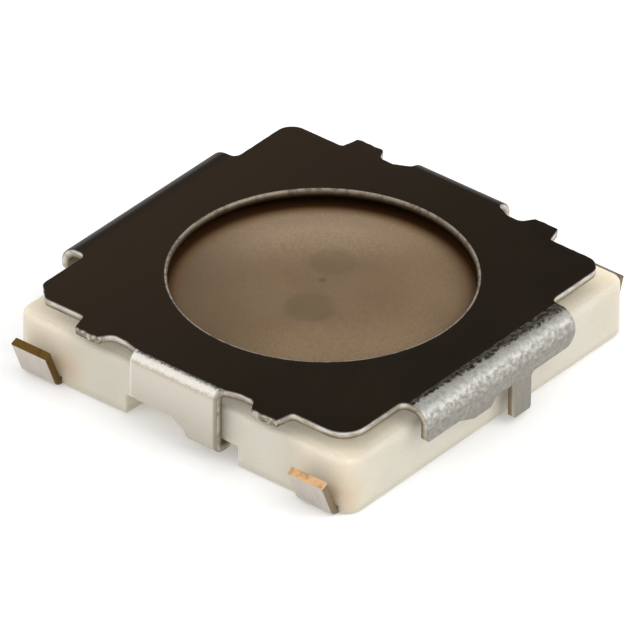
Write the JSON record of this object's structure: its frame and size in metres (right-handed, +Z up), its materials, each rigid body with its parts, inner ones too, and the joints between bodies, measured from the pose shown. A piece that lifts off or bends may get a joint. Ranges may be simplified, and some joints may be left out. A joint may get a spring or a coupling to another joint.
{
  "type": "tactile push button switch",
  "caption": "Low-profile surface-mount tactile switch: square moulded base, folded metal cover with a round opening, and a film over snap domes.",
  "frame": {"origin": "centre of the base's underside, on the board plane", "axes": "+X from one terminal side to the other, +Y from one ground-leg flank to the other, +Z up out of the board towards the finger"},
  "size_m": [0.0054, 0.0052, 0.001],
  "materials": {
    "base_resin": "moulded ivory resin, fine satin",
    "cover_steel": "bright rolled sheet with burnished bends",
    "film": "tan film, satin",
    "pusher_resin": "plain",
    "dome_steel": "spring sheet, bright",
    "plated_contact": "plated copper alloy with bare cut edges"
  },
  "bodies": {
    "casing": {"base": "base_resin", "cover": "cover_steel", "protective_film": "film", "upper_dome": "dome_steel", "lower_dome": "dome_steel", "centre_contact": "plated_contact", "outer_contact": "plated_contact"},
    "plunger": {"pusher": "pusher_resin"}
  },
  "joints": [
    {"name": "press", "type": "slide", "parent": "casing", "child": "plunger", "axis": [0, 0, -1], "range_m": [0, 0.00012], "stiffness_N_per_m": 13000, "deforming": ["protective_film", "upper_dome", "lower_dome"]}
  ]
}
